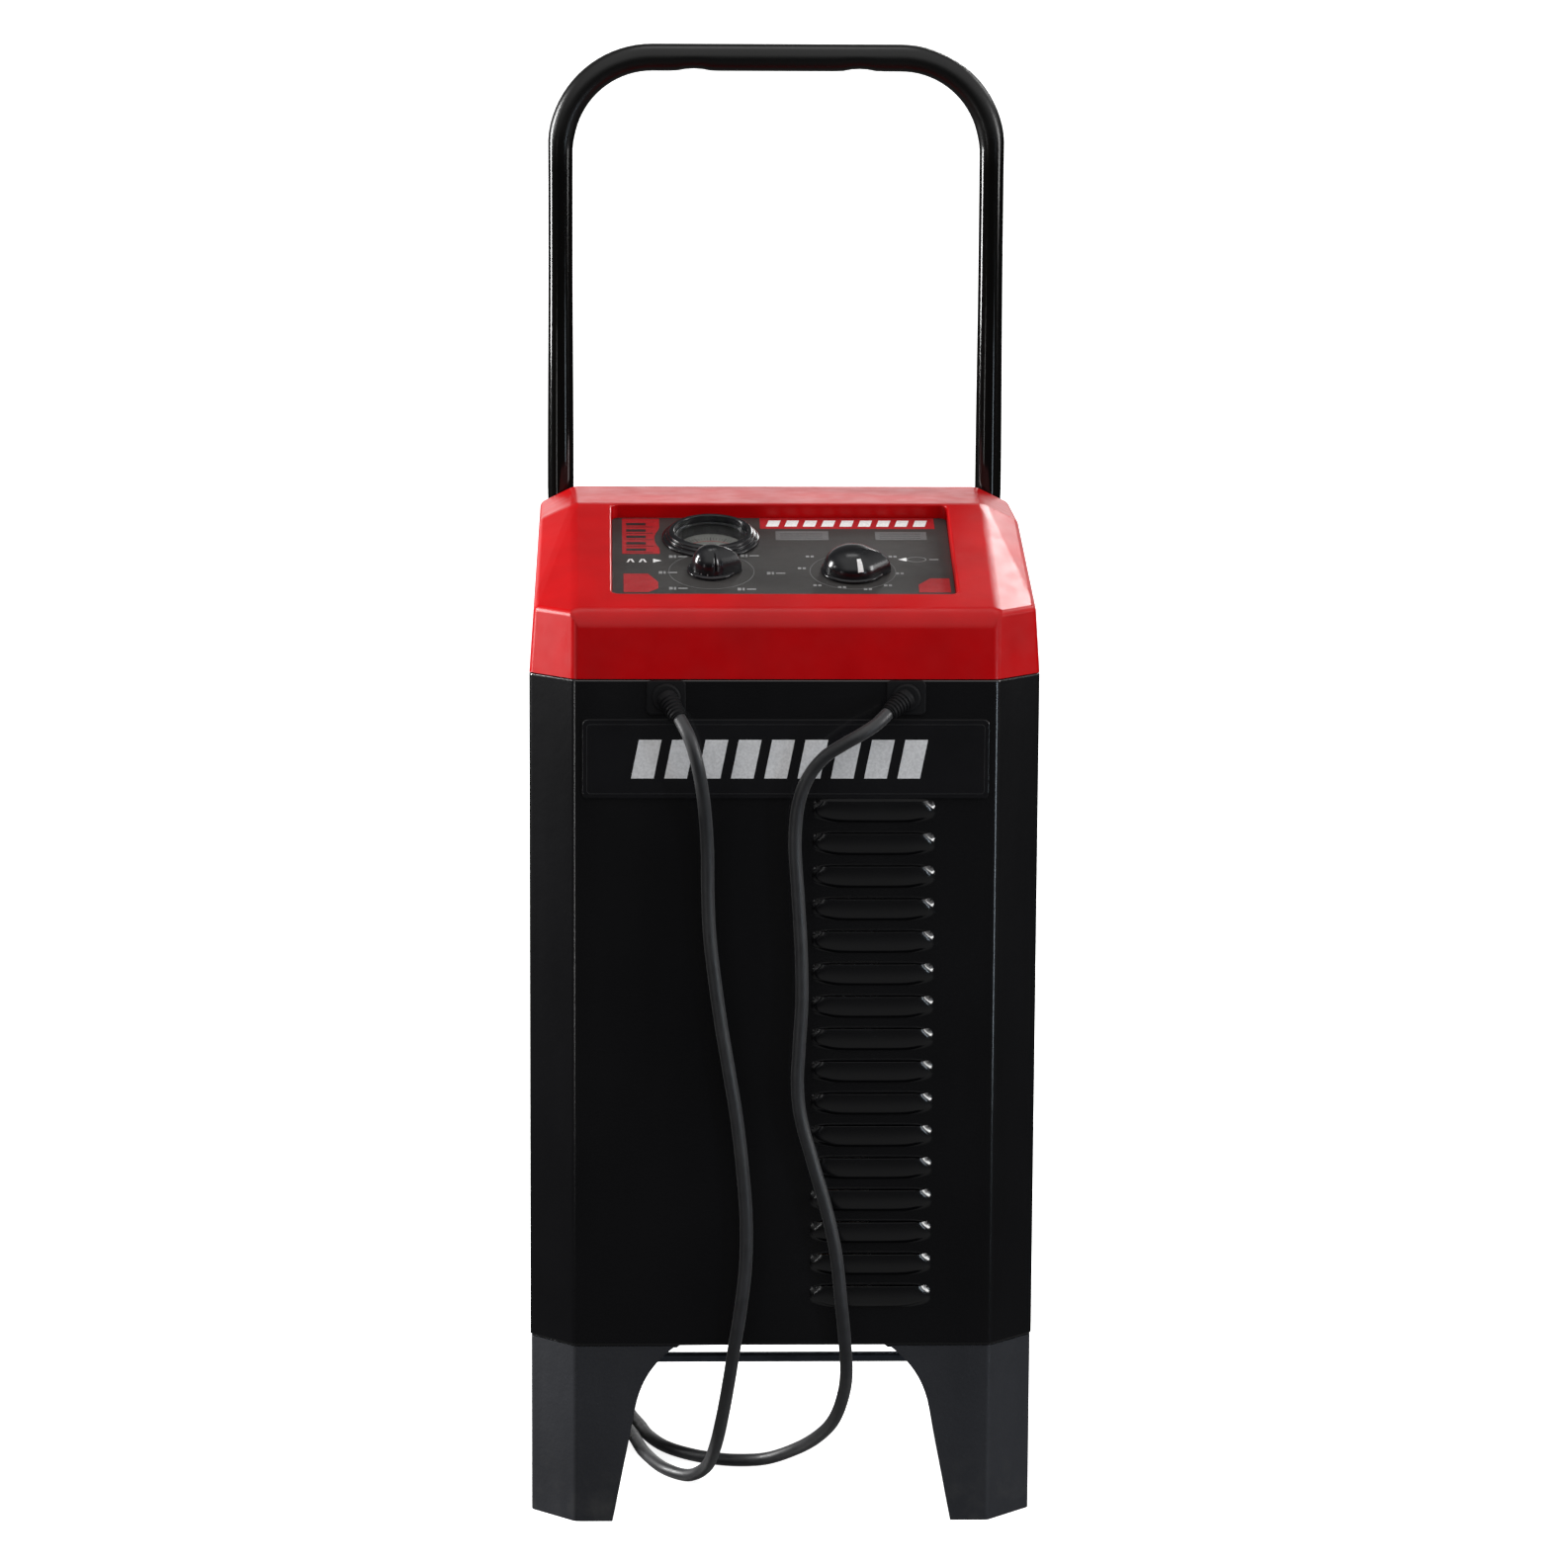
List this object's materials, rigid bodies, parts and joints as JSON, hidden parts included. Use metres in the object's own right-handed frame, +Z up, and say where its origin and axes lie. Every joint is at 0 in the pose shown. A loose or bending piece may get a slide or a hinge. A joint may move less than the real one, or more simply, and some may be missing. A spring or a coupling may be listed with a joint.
{
  "type": "battery charger",
  "caption": "Wheeled battery charger: bevelled steel cabinet with louvres, sloping control panel under a tube handle, front foot, two wheels and clamped output cables.",
  "frame": {"origin": "middle of the footprint on the floor, cables left out", "axes": "+Z up, -Y is the front with the louvres and controls, +X to the right seen from the front"},
  "size_m": [0.33, 0.6438, 0.9499],
  "materials": {
    "cabinet_black": "gloss black enamel",
    "foot_charcoal": "satin charcoal enamel",
    "badge_black": "gloss black",
    "black_plastic": "matte black",
    "zinc_plate": "bright zinc plate",
    "tyre_rubber": "matte black rubber",
    "cap_red": "satin red",
    "panel_grey": "matte dark grey",
    "knob_black": "gloss black",
    "dial_white": "matte white",
    "meter_glass": "clear",
    "core_steel": "varnished laminations",
    "winding_copper": "varnished copper",
    "heat_sink": "plain",
    "cable_jacket": "matte black",
    "clamp_black": "matte black",
    "clamp_red": "matte red"
  },
  "bodies": {
    "root": {"cabinet_shell": "cabinet_black", "rear_panel": "cabinet_black", "handle": "cabinet_black", "base_plate": "foot_charcoal", "front_foot": "foot_charcoal", "axle_bracket_left": "foot_charcoal", "axle_bracket_right": "foot_charcoal", "handle_clip_lower_left": "foot_charcoal", "handle_clip_lower_right": "foot_charcoal", "handle_clip_upper_left": "foot_charcoal", "handle_clip_upper_right": "foot_charcoal", "front_badge": "badge_black", "power_cord_gland": "black_plastic", "meter_case": "black_plastic", "selector_switch": "black_plastic", "handle_plug_left": "black_plastic", "handle_plug_right": "black_plastic", "circuit_breaker": "black_plastic", "strain_relief_left": "black_plastic", "strain_relief_right": "black_plastic", "axle": "zinc_plate", "axle_cap_left": "zinc_plate", "axle_cap_right": "zinc_plate", "timer_movement": "zinc_plate", "transformer_cradle": "zinc_plate", "rectifier_diode_left": "zinc_plate", "rectifier_diode_right": "zinc_plate", "clamp_black_pin": "zinc_plate", "clamp_black_spring": "zinc_plate", "clamp_red_pin": "zinc_plate", "clamp_red_spring": "zinc_plate", "top_cap": "cap_red", "control_panel": "panel_grey", "meter_bezel": "knob_black", "meter_dial": "dial_white", "meter_lens": "meter_glass", "transformer_core": "core_steel", "transformer_winding": "winding_copper", "rectifier_plate": "heat_sink", "output_cable_left": "cable_jacket", "output_cable_right": "cable_jacket", "cable_coil_left": "cable_jacket", "cable_coil_right": "cable_jacket", "cable_tail_left": "cable_jacket", "cable_tail_right": "cable_jacket", "clamp_black_fixed_jaw": "clamp_black", "clamp_red_fixed_jaw": "clamp_red"},
    "wheel_left": {"tyre_left": "tyre_rubber", "wheel_hub_left": "black_plastic"},
    "wheel_right": {"tyre_right": "tyre_rubber", "wheel_hub_right": "black_plastic"},
    "selector": {"selector_knob": "knob_black", "selector_shaft": "zinc_plate"},
    "timer": {"timer_knob": "knob_black", "timer_shaft": "zinc_plate"},
    "needle": {"meter_needle": "knob_black"},
    "black_jaw": {"clamp_black_moving_jaw": "clamp_black"},
    "red_jaw": {"clamp_red_moving_jaw": "clamp_red"}
  },
  "joints": [
    {"name": "wheel_left_spin", "type": "hinge", "parent": "root", "child": "wheel_left", "pos_m": [-0.145, 0.06535, 0.055], "axis": [1, 0, 0], "continuous": true},
    {"name": "wheel_right_spin", "type": "hinge", "parent": "root", "child": "wheel_right", "pos_m": [0.145, 0.06535, 0.055], "axis": [1, 0, 0], "continuous": true},
    {"name": "selector_turn", "type": "hinge", "parent": "root", "child": "selector", "pos_m": [-0.0465, -0.0538, 0.62727], "axis": [0, -0.2789, 0.9603], "range_deg": [-50, 232]},
    {"name": "timer_turn", "type": "hinge", "parent": "root", "child": "timer", "pos_m": [0.046, -0.0538, 0.62727], "axis": [0, -0.2789, 0.9603], "range_deg": [-217, 46]},
    {"name": "needle_swing", "type": "hinge", "parent": "root", "child": "needle", "pos_m": [-0.046, -0.00965, 0.62405], "axis": [0, -0.2789, 0.9603], "range_deg": [-94, 0], "stiffness_Nm_per_rad": 0.001},
    {"name": "black_clamp_open", "type": "hinge", "parent": "root", "child": "black_jaw", "pos_m": [0.025, 0.45135, 0.012], "axis": [0, 0, 1], "range_deg": [0, 25], "stiffness_Nm_per_rad": 1.5},
    {"name": "red_clamp_open", "type": "hinge", "parent": "root", "child": "red_jaw", "pos_m": [0.126, 0.41635, 0.012], "axis": [0, 0, -1], "range_deg": [0, 25], "stiffness_Nm_per_rad": 1.5}
  ]
}
